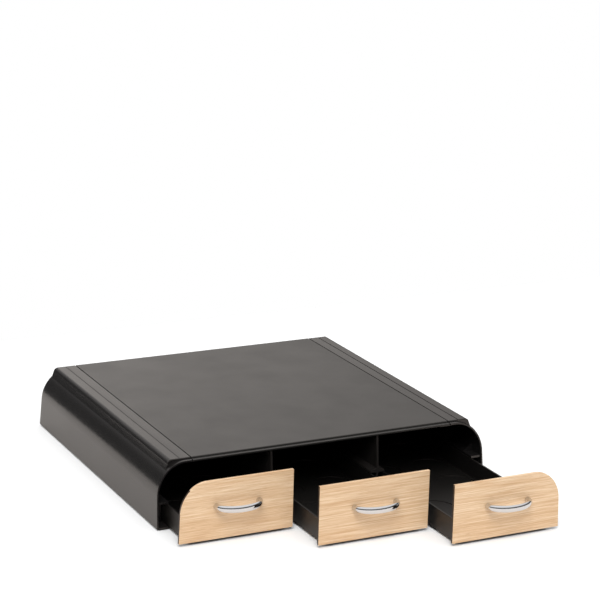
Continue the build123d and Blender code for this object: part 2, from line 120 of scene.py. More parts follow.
world = bpy.data.worlds.new("studio")
bpy.context.scene.world = world
world.use_nodes = True
tree = world.node_tree
tree.nodes.clear()
direction = add_node(tree, "ShaderNodeTexCoord")
height = add_node(tree, "ShaderNodeSeparateXYZ", links={"Vector": direction.outputs["Generated"]})
ramp = add_node(
    tree, "ShaderNodeValToRGB", links={"Fac": height.outputs["Z"]},
    stops=[(horizon_height, grey(horizon_level)), (sky_height, grey(sky_level))])
sky = add_node(tree, "ShaderNodeBackground", {"Strength": 1.0}, {"Color": ramp.outputs["Color"]})
white = add_node(tree, "ShaderNodeBackground", {"Color": (1, 1, 1, 1), "Strength": 1.0})
path = add_node(tree, "ShaderNodeLightPath")
seen = add_node(tree, "ShaderNodeMixShader", links={
    0: path.outputs["Is Camera Ray"], 1: sky.outputs[0], 2: white.outputs[0]})
add_node(tree, "ShaderNodeOutputWorld", links={"Surface": seen.outputs[0]})

floor_material, tree = new_material("floor_matt_white")
path = add_node(tree, "ShaderNodeLightPath")
tint = add_node(
    tree, "ShaderNodeMix", {6: grey(table_level), 7: [mirrored_level * c for c in warm_white[:3]] + [1.0]},
    {0: path.outputs["Is Glossy Ray"]}, data_type="RGBA")
paint = add_node(tree, "ShaderNodeBsdfDiffuse", links={"Color": tint.outputs[2]})
add_node(tree, "ShaderNodeOutputMaterial", links={"Surface": paint.outputs[0]})
bpy.ops.object.select_all(action="DESELECT")
bpy.ops.mesh.primitive_plane_add(
    size=1, location=((table_left + table_right) / 2, (table_front + table_back) / 2, 0))
floor = bpy.context.object
floor.name = "floor"
floor.scale = (table_right - table_left, table_back - table_front, 1)
floor.data.materials.append(floor_material)

key_data = bpy.data.lights.new("key_lamp", "SUN")
key_data.energy = key_strength
key_data.angle = math.radians(key_width)
key = bpy.data.objects.new("key_lamp", key_data)
key.rotation_mode = "QUATERNION"
key.rotation_quaternion = Vector(key_towards).to_track_quat("-Z", "Y")
key.visible_glossy = False
bpy.context.scene.collection.objects.link(key)

card_material, tree = new_material("card_lit_white")
place = add_node(tree, "ShaderNodeNewGeometry")
across = add_node(tree, "ShaderNodeSeparateXYZ", links={"Vector": place.outputs["Position"]})
card_quarter = card_size[0] / 4
level = add_node(
    tree, "ShaderNodeMapRange",
    {"From Min": card_centre[0] - card_quarter, "From Max": card_centre[0] + card_quarter,
     "To Min": card_level_left, "To Max": card_level_right},
    {"Value": across.outputs["X"]})
glow = add_node(tree, "ShaderNodeEmission", {"Color": warm_white}, {"Strength": level.outputs[0]})
add_node(tree, "ShaderNodeOutputMaterial", links={"Surface": glow.outputs[0]})
bpy.ops.object.select_all(action="DESELECT")
bpy.ops.mesh.primitive_plane_add(size=1, location=card_centre)
card = bpy.context.object
card.name = "back_card"
card.scale = (*card_size, 1)
card.rotation_mode = "QUATERNION"
card.rotation_quaternion = (-Vector(card_centre)).to_track_quat("Z", "Y")
card.visible_camera = False
card.visible_diffuse = False
card.visible_shadow = False
card.data.materials.append(card_material)


# ---- side shells
# Each side of the case is one ABS moulding with a 1.8 mm wall: a drafted side that turns into a big shoulder,
# a small step up to the raised platform, and half of the arched collar round the mouth. Bosses, fins, the
# rail over the outer tray and the ledge for the top panel are moulded on its inside.
mm = 0.001
foot_stand = 1.0
half_width = 171.8
half_depth = 159.5
case_height = 61.8
wall = 1.8
side_draft = math.radians(2.1)
front_lean = math.radians(5.6)
back_lean = math.radians(6.5)
shoulder_start = 30.0
shoulder_radius = 33.0
shoulder_sweep = math.radians(45.3)
platform_step = 2.7
platform_round = 5.0
platform_setback = 4.5
lip_height = 3.2
collar_depth = 6.0
bottom_round = 1.2
seam_x = 134.8
seam_gap = 0.9
seam_round = 0.3            # both edges of the seam
groove_x = 145.8
groove_width = 1.0
groove_depth = 0.7          # at its steep outer wall; its inner side runs out in a ramp
fit_gap = 0.25
edge_round = 0.4            # worn mould edges, too fine to dimension
lip_round = 0.9             # the platform's front edge is rounder and catches the light
arc_step = math.radians(3)  # of the facets that an arc is drawn with
same_point = 0.002          # points closer than this are one
mouth_height = case_height - lip_height
seam_edge = -seam_x - seam_gap / 2
beyond = 20.0               # how far a large cutter reaches past what it cuts
margin = 2.0                # and a small one

shoulder_foot = (-half_width + shoulder_start * math.tan(side_draft), shoulder_start)
shoulder_centre = (
    shoulder_foot[0] + shoulder_radius * math.cos(side_draft),
    shoulder_foot[1] - shoulder_radius * math.sin(side_draft),
)
shoulder_end_angle = math.pi - side_draft - shoulder_sweep
arch_sweep = shoulder_end_angle - math.pi / 2


def round_point(centre, radius, angle):
    """Point on a circle in the plane of the mouth."""
    return centre[0] + radius * math.cos(angle), centre[1] + radius * math.sin(angle)


shoulder_end = round_point(shoulder_centre, shoulder_radius, shoulder_end_angle)
mouth_shoulder_end = round_point(shoulder_centre, shoulder_radius - wall, shoulder_end_angle)
arch_radius = (mouth_height - mouth_shoulder_end[1]) / (1 - math.cos(arch_sweep))
arch_centre = round_point(mouth_shoulder_end, -arch_radius, shoulder_end_angle)


def front_at(z, inset=0.0):
    """Y of the leaning mouth plane at a height, moved back by an inset."""
    return -half_depth + inset + z * math.tan(front_lean)


def back_at(z, inset=0.0):
    """Y of the leaning back at a height, moved forward by an inset."""
    return half_depth - inset - z * math.tan(back_lean)


def into_mesh():
    """Put the place, turn and scale of the selected objects into their meshes."""
    bpy.ops.object.transform_apply(location=True, rotation=True, scale=True)


def draw_outline(name, start, strokes):
    """Closed face in the plane of the mouth: a point, extruded along straight strokes and spun along arcs."""
    bpy.ops.object.select_all(action="DESELECT")
    bpy.ops.mesh.primitive_plane_add(size=mm, location=(start[0] * mm, 0, start[1] * mm))
    piece = bpy.context.object
    piece.name = name
    into_mesh()
    bpy.ops.object.mode_set(mode="EDIT")
    bpy.ops.mesh.select_mode(type="VERT")
    bpy.ops.mesh.select_all(action="SELECT")
    bpy.ops.mesh.merge(type="CENTER")
    bpy.ops.mesh.select_all(action="SELECT")
    here = Vector((start[0], start[1]))
    for stroke in strokes:
        if len(stroke) == 2:
            there = Vector(stroke)
            step = (there - here) * mm
            bpy.ops.mesh.extrude_region_move(TRANSFORM_OT_translate={"value": (step.x, 0, step.y)})
            here = there
        else:
            centre, turn = Vector(stroke[:2]), stroke[2]
            steps = max(2, round(abs(turn) / arc_step))
            bpy.ops.mesh.spin(
                steps=steps, angle=turn, center=(centre.x * mm, 0, centre.y * mm), axis=(0, -1, 0))
            arm = here - centre
            arm.rotate(Matrix.Rotation(-turn, 2))
            here = centre + arm
    bpy.ops.mesh.select_all(action="SELECT")
    bpy.ops.mesh.remove_doubles(threshold=same_point * mm)
    bpy.ops.mesh.edge_face_add()
    bpy.ops.object.mode_set(mode="OBJECT")
    return piece


def make_active(piece):
    """Select one object alone and make it active."""
    bpy.ops.object.select_all(action="DESELECT")
    bpy.context.view_layer.objects.active = piece
    piece.select_set(True)


def edit_all(piece):
    """Open a piece in edit mode with all of it selected."""
    make_active(piece)
    bpy.ops.object.mode_set(mode="EDIT")
    bpy.ops.mesh.select_all(action="SELECT")


def face_outwards():
    """Turn all faces of the piece in edit mode outwards, and leave edit mode."""
    bpy.ops.mesh.select_all(action="SELECT")
    bpy.ops.mesh.normals_make_consistent(inside=False)
    bpy.ops.object.mode_set(mode="OBJECT")


def pull_along_y(piece, y0, y1):
    """Extrude a drawn face into a solid from y0 to y1."""
    edit_all(piece)
    bpy.ops.transform.translate(value=(0, y0 * mm, 0))
    bpy.ops.mesh.extrude_region_move(TRANSFORM_OT_translate={"value": (0, (y1 - y0) * mm, 0)})
    face_outwards()
    return piece


def slice_off(piece, y, normal):
    """Cut a solid along a plane through y on the floor, drop what the normal points to and close the cut."""
    edit_all(piece)
    bpy.ops.mesh.bisect(plane_co=(0, y * mm, 0), plane_no=normal, use_fill=True, clear_outer=True)
    bpy.ops.object.mode_set(mode="OBJECT")
    return piece


def cut_front(piece, inset, drop=1):
    """Cut along the mouth plane, set back by an inset: drop what is before it, or behind it with -1."""
    return slice_off(
        piece, front_at(0, inset), (0, -drop * math.cos(front_lean), drop * math.sin(front_lean)))


def cut_back(piece, inset, drop=1):
    """Cut along the leaning back, set forward by an inset: drop what is behind it, or before it with -1."""
    return slice_off(piece, back_at(0, inset), (0, drop * math.cos(back_lean), drop * math.sin(back_lean)))


def combine(piece, other, operation):
    """Boolean of two solids into the first one."""
    change = piece.modifiers.new("combine", "BOOLEAN")
    change.object = other
    change.operation = operation
    change.solver = "EXACT"
    make_active(piece)
    bpy.ops.object.modifier_apply(modifier=change.name)
    bpy.data.objects.remove(other)
    return piece


def meet_circle(point, direction, centre, radius):
    """Where a line, followed along its direction, leaves a circle."""
    arm = Vector(point) - Vector(centre)
    along = arm.dot(direction)
    return Vector(point) + direction * (-along + math.sqrt(along ** 2 - arm.length_squared + radius ** 2))


step_lean = math.atan2(platform_step, case_height - shoulder_end[1])
step_up = Vector((math.sin(step_lean), math.cos(step_lean)))
step_inward = Vector((math.cos(step_lean), -math.sin(step_lean)))
round_turn = math.pi / 2 - step_lean
round_start = Vector((shoulder_end[0] + platform_step, case_height))
round_start -= step_up * platform_round * math.tan(round_turn / 2)
round_centre = round_start + step_inward * platform_round
bottom_turn = math.pi / 2 + side_draft
bottom_centre = (-half_width + bottom_round * math.tan(bottom_turn / 2), bottom_round)
inner_radius = shoulder_radius - wall
inner_wall_top = round_point(shoulder_centre, inner_radius, math.pi - side_draft)
inner_wall_foot = (inner_wall_top[0] - (inner_wall_top[1] + beyond) * math.tan(side_draft), -beyond)
past_seam = -seam_x + beyond
length = half_depth + beyond


def wall_turn(point):
    """Sweep of the shoulder from its start to a point on the inner arc."""
    return math.pi - side_draft - math.atan2(point[1] - shoulder_centre[1], point[0] - shoulder_centre[0])


def select_edges(piece, wanted, least_angle=math.radians(25)):
    """In edit mode, select the sharp edges whose two ends, in millimetres, are all wanted."""
    bpy.ops.mesh.select_mode(type="EDGE")
    bpy.ops.mesh.select_all(action="DESELECT")
    bm = bmesh.from_edit_mesh(piece.data)
    for edge in bm.edges:
        if len(edge.link_faces) == 2 and edge.calc_face_angle() > least_angle:
            edge.select = all(wanted(v.co.x / mm, v.co.y / mm, v.co.z / mm) for v in edge.verts)
    bmesh.update_edit_mesh(piece.data)


def round_edges(piece, wanted, size, segments=2):
    """Bevel the sharp edges that a test on their ends picks out."""
    make_active(piece)
    bpy.ops.object.mode_set(mode="EDIT")
    select_edges(piece, wanted)
    bpy.ops.mesh.bevel(offset=size * mm, segments=segments, affect="EDGES", clamp_overlap=False)
    bpy.ops.object.mode_set(mode="OBJECT")


def near(a, b, slack=0.01):
    """Whether two lengths, in millimetres, are the same."""
    return abs(a - b) < slack


loose = 0.05                # slack for points on the facets of an arc
above_shoulder = shoulder_end[1] + 0.5


def on_platform_edge(x, y, z):
    """Whether a point lies on the platform's front edge, and not on the arched ledge before it."""
    if not near(y, front_at(z, platform_setback)) or z < above_shoulder:
        return False
    if x > arch_centre[0]:
        return not near(z, mouth_height + wall)
    return not near(math.hypot(x - arch_centre[0], z - arch_centre[1]), arch_radius + wall, loose)


shell = draw_outline("left_side", (seam_edge, 0), [
    (bottom_centre[0], 0),
    (*bottom_centre, bottom_turn),
    shoulder_foot,
    (*shoulder_centre, shoulder_sweep),
    tuple(round_start),
    (*round_centre, round_turn),
    (seam_edge, case_height),
])
cut_back(cut_front(pull_along_y(shell, -length, length), 0), 0)

mouth = draw_outline("mouth", inner_wall_foot, [
    inner_wall_top,
    (*shoulder_centre, shoulder_sweep),
    (*arch_centre, arch_sweep),
    (past_seam, mouth_height),
    (past_seam, -beyond),
])
combine(shell, pull_along_y(mouth, -length, length), "DIFFERENCE")

inner_step = meet_circle(
    Vector(shoulder_end) + step_inward * wall, step_up, shoulder_centre, inner_radius)
inner_round_start = Vector(round_centre) - step_inward * (platform_round - wall)
inside = draw_outline("inside", inner_wall_foot, [
    inner_wall_top,
    (*shoulder_centre, wall_turn(inner_step)),
    tuple(inner_round_start),
    (*round_centre, round_turn),
    (past_seam, case_height - wall),
    (past_seam, -beyond),
])
combine(shell, cut_front(pull_along_y(inside, -length, length), collar_depth), "DIFFERENCE")

raised = draw_outline("raised", (-half_width - beyond, shoulder_end[1]), [
    shoulder_end,
    (*arch_centre, arch_sweep),
    (past_seam, mouth_height + wall),
    (past_seam, case_height + beyond),
    (-half_width - beyond, case_height + beyond),
])
combine(shell, cut_front(pull_along_y(raised, -length, 0), platform_setback, -1), "DIFFERENCE")

round_edges(shell, lambda x, y, z: near(y, front_at(z)), edge_round)
round_edges(shell, lambda x, y, z: near(y, back_at(z)), edge_round)
round_edges(shell, on_platform_edge, lip_round, 4)
round_edges(shell, lambda x, y, z: near(x, seam_edge) and near(z, case_height, loose), seam_round, 3)

groove_wall = -groove_x - groove_width / 2
groove = draw_outline("groove", (groove_wall, case_height + groove_depth), [
    (groove_wall, case_height - groove_depth),
    (groove_wall + 2 * groove_width, case_height + groove_depth),
])
combine(shell, pull_along_y(groove, -length, length), "DIFFERENCE")


# What is moulded on the inside of the side: the rail over the tray with its gussets, low fins that guide the
# tray, the stop, the screw bosses with their ribs, and the slotted ledge that carries the top panel.
side_room = 11.25
board_back = -half_depth + 3.5      # rear face of the shut fronts
rail_low, rail_thickness, rail_reach, rail_setback = 22.6, 2.0, 1.5, 0.4
fin_count, fin_thickness, fin_top, fin_ends, guide_gap = 6, 1.6, 5.0, 24.0, 0.5
base_thickness = 1.5
stop_y, stop_thickness, stop_gap = board_back + 12.0, 3.0, 0.7
boss_radius, boss_top = 3.25, 9.0
base_boss_x, base_boss_y = half_width - 6.2, half_depth - 34.0
back_boss_length = 9.0
back_boss_places = [(-half_width + 7.2, 14.0), (-seam_x - 13.0, mouth_height - 2 * boss_radius)]
ledge_reach, ledge_thickness = 9.0, 1.8
hook_count, hook_width, hook_thickness, hook_end_inset, hook_slot_gap = 4, 9.0, 1.4, 24.0, 0.4
overlap = 0.1               # by which solids that grow together reach into each other
sunk = 0.05                 # keeps faces of solids that grow together out of one plane
flush = 0.01                # as good as flush
in_wall = -half_width + wall
tray_side = -half_width + side_room
rail_end = tray_side + rail_reach
rail_top = rail_low + rail_thickness


def bar_along_y(name, corners, y0, y1):
    """Solid with a straight-edged outline in the plane of the mouth, from y0 to y1."""
    return pull_along_y(draw_outline(name, corners[0], corners[1:]), y0, y1)


def box(name, x0, x1, y0, y1, z0, z1):
    """Solid block between its six sides."""
    return bar_along_y(name, [(x0, z0), (x0, z1), (x1, z1), (x1, z0)], y0, y1)


def round_bar(name, radius, depth, centre, tilt=0.0, sides=32):
    """Upright round bar, tilted about X, with its place in its mesh."""
    bpy.ops.object.select_all(action="DESELECT")
    bpy.ops.mesh.primitive_cylinder_add(
        vertices=sides, radius=radius * mm, depth=depth * mm,
        location=[c * mm for c in centre], rotation=(tilt, 0, 0))
    bar = bpy.context.object
    bar.name = name
    into_mesh()
    return bar


hook_first = front_at(mouth_height, collar_depth) + hook_end_inset
hook_last = back_at(mouth_height, wall) - hook_end_inset
hook_places = [hook_first + (hook_last - hook_first) * i / (hook_count - 1) for i in range(hook_count)]
fin_pitch = (2 * half_depth - fin_ends) / fin_count
fin_places = [stop_y + stop_thickness + fin_pitch * i for i in range(fin_count)]
ledge_low = mouth_height - ledge_thickness
ledge_front = front_at(mouth_height, collar_depth - wall)
ledge_back = back_at(mouth_height, wall + 2 * fit_gap)

rail = box("rail", in_wall, rail_end, board_back + rail_setback, half_depth, rail_low, rail_top)
gusset = [
    (in_wall, rail_top - overlap), (in_wall, rail_top + side_room - wall), (rail_end, rail_top - overlap)]
ribs = [cut_back(rail, wall + fit_gap)]
for y in fin_places:
    ribs.append(bar_along_y("gusset", gusset, y, y + fin_thickness))
    ribs.append(box("fin", in_wall, tray_side - guide_gap, y, y + fin_thickness, base_thickness, fin_top))
ribs.append(box(
    "stop", in_wall, tray_side - stop_gap, stop_y, stop_y + stop_thickness,
    base_thickness, rail_low + overlap))
half_fin = fin_thickness / 2
for y in (-base_boss_y, base_boss_y):
    middle = (-base_boss_x, y, (base_thickness + boss_top) / 2)
    ribs.append(round_bar("boss", boss_radius, boss_top - base_thickness, middle))
    ribs.append(box(
        "boss_rib", in_wall, -base_boss_x, y - half_fin, y + half_fin, base_thickness, boss_top - overlap))
for x, z in back_boss_places:
    middle = (x, back_at(z, wall + fit_gap + back_boss_length / 2), z)
    ribs.append(round_bar("back_boss", boss_radius, back_boss_length, middle, math.pi / 2 + back_lean))
    if z > shoulder_start:
        rib = box("back_boss_rib", x - half_fin, x + half_fin, 0, length, z, case_height - wall / 2)
    else:
        rib = box("back_boss_rib", in_wall, x, 0, length, z - half_fin, z + half_fin)
    ribs.append(cut_back(cut_back(rib, wall + fit_gap), wall + fit_gap + back_boss_length, -1))
ledge = box(
    "ledge", seam_edge - wall, seam_edge + ledge_reach, ledge_front, ledge_back, ledge_low, mouth_height)
slot_x, half_slot = seam_edge + ledge_reach / 2, hook_thickness / 2 + hook_slot_gap
slot_reach = hook_width / 2 + hook_slot_gap
for y in hook_places:
    slot = box(
        "slot", slot_x - half_slot, slot_x + half_slot, y - slot_reach, y + slot_reach,
        ledge_low - margin, mouth_height + margin)
    combine(ledge, slot, "DIFFERENCE")
ribs.append(ledge)
ribs.append(box(
    "ledge_step", seam_edge - 2 * wall, seam_edge - flush, ledge_front + sunk, ledge_back - sunk,
    ledge_low + sunk, case_height - wall / 2))
for rib in ribs:
    combine(shell, rib, "UNION")

smear_size = 38.0
clean_distance = 0.01       # merges what a boolean leaves twice
clean_angle = math.radians(0.05)
smooth_angle = math.radians(35)


def moulded_plastic(name, colour, roughness, wipe, grain_size, grain_depth):
    """Black ABS: its roughness, how far wiping varies it, and its mould's grain, coarse enough to show."""
    material, tree = new_material(name)
    place = add_node(tree, "ShaderNodeTexCoord")
    spot = place.outputs["Object"]
    smear = add_node(
        tree, "ShaderNodeTexNoise", {"Scale": 1 / (smear_size * mm), "Detail": 3.0}, {"Vector": spot})
    rough = add_node(
        tree, "ShaderNodeMapRange",
        {"From Min": 0.3, "From Max": 0.7, "To Min": roughness - wipe, "To Max": roughness + wipe},
        {"Value": smear.outputs["Fac"]})
    grain = add_node(
        tree, "ShaderNodeTexNoise", {"Scale": 1 / (grain_size * mm), "Detail": 2.0, "Roughness": 0.6},
        {"Vector": spot})
    relief = add_node(
        tree, "ShaderNodeBump", {"Strength": 1.0, "Distance": grain_depth * mm},
        {"Height": grain.outputs["Fac"]})
    surface = add_node(
        tree, "ShaderNodeBsdfPrincipled",
        {"Base Color": linear(colour), "IOR": 1.53, "Specular Tint": linear("#fff3ec")},
        {"Roughness": rough.outputs[0], "Normal": relief.outputs[0]})
    add_node(tree, "ShaderNodeOutputMaterial", links={"Surface": surface.outputs[0]})
    return material


def own_copy(piece):
    """Copy of a piece with a mesh of its own."""
    copy = piece.copy()
    copy.data = piece.data.copy()
    bpy.context.scene.collection.objects.link(copy)
    return copy


def mirrored(piece):
    """Mirror image of a piece, left to right."""
    image = own_copy(piece)
    edit_all(image)
    bpy.ops.transform.resize(value=(-1, 1, 1), center_override=(0, 0, 0))
    face_outwards()
    return image


def move(piece, x, y, z):
    """Move a piece within its mesh, in millimetres."""
    edit_all(piece)
    bpy.ops.transform.translate(value=(x * mm, y * mm, z * mm))
    bpy.ops.object.mode_set(mode="OBJECT")


def set_in_place(piece, open_by=0.0):
    """Move a piece, drawn with the case's bottom edge at z = 0 and the drawers shut, to its place at rest."""
    move(piece, 0, -open_by, foot_stand)


def shade(piece):
    """Clean the mesh and shade it smooth, broken at real edges and flat beside their rounded edges."""
    edit_all(piece)
    bpy.ops.mesh.remove_doubles(threshold=clean_distance * mm)
    bpy.ops.mesh.dissolve_degenerate(threshold=clean_distance * mm)
    bpy.ops.mesh.select_all(action="SELECT")
    bpy.ops.mesh.dissolve_limited(angle_limit=clean_angle)
    bpy.ops.mesh.select_all(action="SELECT")
    bpy.ops.mesh.fill_holes(sides=0)
    bpy.ops.object.mode_set(mode="OBJECT")
    bpy.ops.object.shade_smooth_by_angle(angle=smooth_angle)
    weighted = piece.modifiers.new("weighted", "WEIGHTED_NORMAL")
    weighted.keep_sharp = True
    bpy.ops.object.modifier_apply(modifier=weighted.name)


def hand_over(piece, name, body, slot, *replaced):
    """Name a finished piece, hang it on the empty of its body and hide the CAD parts that it replaces. The
    slot argument is not used.
    """
    piece.name = name
    piece.data.name = name
    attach(piece, body)
    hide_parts(*replaced)


# Polished mould: the sides mirror the pale floor softly and the shoulders the dark horizon.
polished_abs = moulded_plastic("abs_polished_mould", "#171616", 0.23, 0.02, 1.4, 0.002)
set_in_place(shell)
right_shell = mirrored(shell)
for piece, name in ((shell, "left_side"), (right_shell, "right_side")):
    shade(piece)
    piece.data.materials.append(polished_abs)
    hand_over(piece, name, "case", "case_black_plastic", name + "_shell")


# ---- base plate, back panel and dividers
# Plain injection-moulded ABS parts inside the case: the flat plate that the trays slide on, the leaning back
# set in between the shells, and the two dividers with their hold-down rails. They are the CAD pieces with
# their facets merged and their edges rounded.
inner_edge_round = 0.2
facet_angle = math.radians(0.6)
corner_angle = math.radians(30)


def soften(node_name, size, *added):
    """Copy of a CAD piece with merged facets, solids added to it, and rounded edges."""
    piece = own_copy(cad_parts[node_name])
    make_active(piece)
    bpy.ops.mesh.customdata_custom_splitnormals_clear()
    edit_all(piece)
    bpy.ops.mesh.remove_doubles(threshold=same_point * mm)
    bpy.ops.mesh.dissolve_limited(angle_limit=facet_angle)
    bpy.ops.object.mode_set(mode="OBJECT")
    for solid in added:
        combine(piece, solid, "UNION")
    rounding = piece.modifiers.new("rounding", "BEVEL")
    rounding.width = size * mm
    rounding.segments = 2
    rounding.limit_method = "ANGLE"
    rounding.angle_limit = corner_angle
    rounding.use_clamp_overlap = True
    bpy.ops.object.modifier_apply(modifier=rounding.name)
    shade(piece)
    piece.data.materials.clear()
    return piece


# Fine spark-eroded texture: broad dull sheen, no clear reflections.
matt_abs = moulded_plastic("abs_textured_mould", "#1c1a19", 0.42, 0.03, 0.7, 0.008)
# The back's two upper corners reach up under the shells' roof, which is thinner than the top panel.
corners = []
for side in (-1, 1):
    ends = sorted((side * (seam_x + seam_gap), -side * round_centre[0]))
    corner = box("corner", *ends, 0, length, mouth_height - wall, case_height - wall - fit_gap)
    cut_back(cut_back(corner, sunk), wall - sunk, -1)
    set_in_place(corner)
    corners.append(corner)
for name in ("base_plate", "back_panel", "left_divider", "right_divider"):
    piece = soften(name, inner_edge_round, *(corners if name == "back_panel" else ()))
    piece.data.materials.append(matt_abs)
    hand_over(piece, name + "_moulding", "case", "inner_black_plastic", name)


# ---- rubber feet
# Four round pads of moulded rubber that the case stands on, pressed into pockets in the underside of the base
# plate.
feet_round = 0.25
dust_size = 1.2

# Rubber with a film of dust: dull and dark, with hardly a reflection.
rubber, tree = new_material("rubber_moulded")
place = add_node(tree, "ShaderNodeTexCoord")
dust = add_node(
    tree, "ShaderNodeTexNoise", {"Scale": 1 / (dust_size * mm), "Detail": 4.0},
    {"Vector": place.outputs["Object"]})
tone = add_node(
    tree, "ShaderNodeValToRGB", links={"Fac": dust.outputs["Fac"]},
    stops=[(0.35, linear("#1a1918")), (0.75, linear("#2c2a28"))])
surface = add_node(
    tree, "ShaderNodeBsdfPrincipled", {"Roughness": 0.82, "IOR": 1.52}, {"Base Color": tone.outputs["Color"]})
add_node(tree, "ShaderNodeOutputMaterial", links={"Surface": surface.outputs[0]})
feet = soften("rubber_feet", feet_round)
feet.data.materials.append(rubber)
hand_over(feet, "feet", "case", "rubber", "rubber_feet")


# ---- top panel
# Flat ABS moulding between the two seams, pressed down onto the shells' ledges until its hooks snap in. Its
# front ends in the straight part of the lip over the mouth. A grid of ribs below keeps it flat under a load,
# with a clear channel over each divider.
panel_edge = seam_x - seam_gap / 2
rib_thickness, rib_depth = 1.4, 4.0
divider_x = 55.525
channel = 1.25
cross_rib_count = 6
hook_barb, hook_barb_height = 1.0, 1.2
grid_setback = 10.0         # far enough behind the collar to be out of sight
grid_x = seam_x - ledge_reach - rib_thickness
grid_low = mouth_height - rib_depth
grid_top = mouth_height + overlap
grid_front = front_at(mouth_height, collar_depth + grid_setback)
grid_back = back_at(mouth_height, wall + 2 * fit_gap)

panel = box("panel", -panel_edge, panel_edge, -length, length, mouth_height, case_height)
cut_back(cut_front(panel, 0), 0)
raised = box("raised", -half_width, half_width, -length, 0, mouth_height + wall, case_height + beyond)
combine(panel, cut_front(raised, platform_setback, -1), "DIFFERENCE")
round_edges(panel, lambda x, y, z: near(y, front_at(z)), edge_round)
round_edges(
    panel, lambda x, y, z: near(y, front_at(z, platform_setback)) and near(z, case_height), lip_round, 4)
round_edges(
    panel, lambda x, y, z: near(abs(x), panel_edge) and near(z, case_height, loose), seam_round, 3)

half_rib = rib_thickness / 2
rib_places = [-grid_x, 0, grid_x]
for x in (-divider_x, divider_x):
    rib_places += [x - (channel + half_rib), x + (channel + half_rib)]
grid_ribs = [
    box("rib", x - half_rib, x + half_rib, grid_front, grid_back, grid_low, grid_top)
    for x in sorted(rib_places)]
for i in range(cross_rib_count):
    y = grid_front + half_rib + (grid_back - grid_front - rib_thickness) * i / (cross_rib_count - 1)
    grid_ribs.append(box("cross_rib", -grid_x, grid_x, y - half_rib, y + half_rib, grid_low, grid_top))
grid = grid_ribs[0]
for rib in grid_ribs[1:]:
    combine(grid, rib, "UNION")
for x in (-divider_x, divider_x):
    clear = box("channel", x - channel, x + channel, -length, length, grid_low - margin, grid_top + margin)
    combine(grid, clear, "DIFFERENCE")
combine(panel, grid, "UNION")

catch = mouth_height - ledge_thickness - hook_slot_gap / 2
for side in (-1, 1):
    leg_x = side * (seam_x + seam_gap / 2 - ledge_reach / 2)
    inner, outer = leg_x - side * hook_thickness / 2, leg_x + side * hook_thickness / 2
    profile = [
        (inner, grid_top), (outer, grid_top), (outer, catch), (outer + side * hook_barb, catch),
        (outer, catch - hook_barb_height), (inner, catch - hook_barb_height)]
    for y in hook_places:
        hook = bar_along_y("hook", profile, y - hook_width / 2, y + hook_width / 2)
        combine(panel, hook, "UNION")

# Coarser spark-eroded grain on top than on the shells: it scatters what the flat mirrors into an even grey.
grained_abs = moulded_plastic("abs_grained_mould", "#191918", 0.32, 0.03, 1.6, 0.02)
set_in_place(panel)
shade(panel)
panel.data.materials.append(grained_abs)
hand_over(panel, "top", "case", "case_black_plastic", "top_panel")


# ---- screws of the case
# Zinc-plated countersunk steel screws with a cross recess: eight up through the base plate into bosses, four
# through the back panel into the shells.
screw_shank, screw_head, screw_head_cone, screw_tip_gap = 2.6, 5.2, 1.3, 0.1
recess_width, recess_length, recess_depth = 0.7, 3.0, 1.0


def turned(name, profile, sides=32):
    """Solid of revolution about Z from (radius, z) points that start and end on the axis."""
    bpy.ops.object.select_all(action="DESELECT")
    bpy.ops.mesh.primitive_circle_add(vertices=sides, radius=profile[1][0] * mm, fill_type="NGON")
    piece = bpy.context.object
    piece.name = name
    edit_all(piece)
    bpy.ops.transform.translate(value=(0, 0, profile[1][1] * mm))
    for (r0, z0), (r1, z1) in zip(profile[1:-1], profile[2:-1]):
        bpy.ops.mesh.extrude_region_move(TRANSFORM_OT_translate={"value": (0, 0, (z1 - z0) * mm)})
        bpy.ops.transform.resize(value=(r1 / r0, r1 / r0, 1), center_override=(0, 0, z1 * mm))
    face_outwards()
    return piece


def cut_cross(piece, top):
    """Cross recess about the Z axis, from above the head's top into it."""
    low, high = top - margin, top + recess_depth
    for x, y in ((recess_length, recess_width), (recess_width, recess_length)):
        bpy.ops.object.select_all(action="DESELECT")
        bpy.ops.mesh.primitive_cube_add(size=mm, location=(0, 0, (low + high) / 2 * mm))
        blade = bpy.context.object
        blade.scale = (x, y, high - low)
        into_mesh()
        combine(piece, blade, "DIFFERENCE")


def copies_at(piece, places, tilt):
    """One object with a copy of the piece at each place, tilted about X."""
    copies = []
    for place in places:
        one = own_copy(piece)
        one.rotation_euler = (tilt, 0, 0)
        one.location = [c * mm for c in place]
        copies.append(one)
    bpy.data.objects.remove(piece)
    bpy.ops.object.select_all(action="DESELECT")
    for one in copies:
        one.select_set(True)
    bpy.context.view_layer.objects.active = copies[0]
    into_mesh()
    bpy.ops.object.join()
    return bpy.context.object


# Bright zinc over steel: a pale, slightly blue metal that is brushed enough to blur its reflections.
crystal_size = 0.8
zinc, tree = new_material("steel_zinc_plated")
place = add_node(tree, "ShaderNodeTexCoord")
crystal = add_node(
    tree, "ShaderNodeTexNoise", {"Scale": 1 / (crystal_size * mm), "Detail": 3.0},
    {"Vector": place.outputs["Object"]})
rough = add_node(
    tree, "ShaderNodeMapRange", {"To Min": 0.22, "To Max": 0.4}, {"Value": crystal.outputs["Fac"]})
surface = add_node(
    tree, "ShaderNodeBsdfPrincipled", {"Base Color": linear("#c3c7cb"), "Metallic": 1.0},
    {"Roughness": rough.outputs[0]})
add_node(tree, "ShaderNodeOutputMaterial", links={"Surface": surface.outputs[0]})

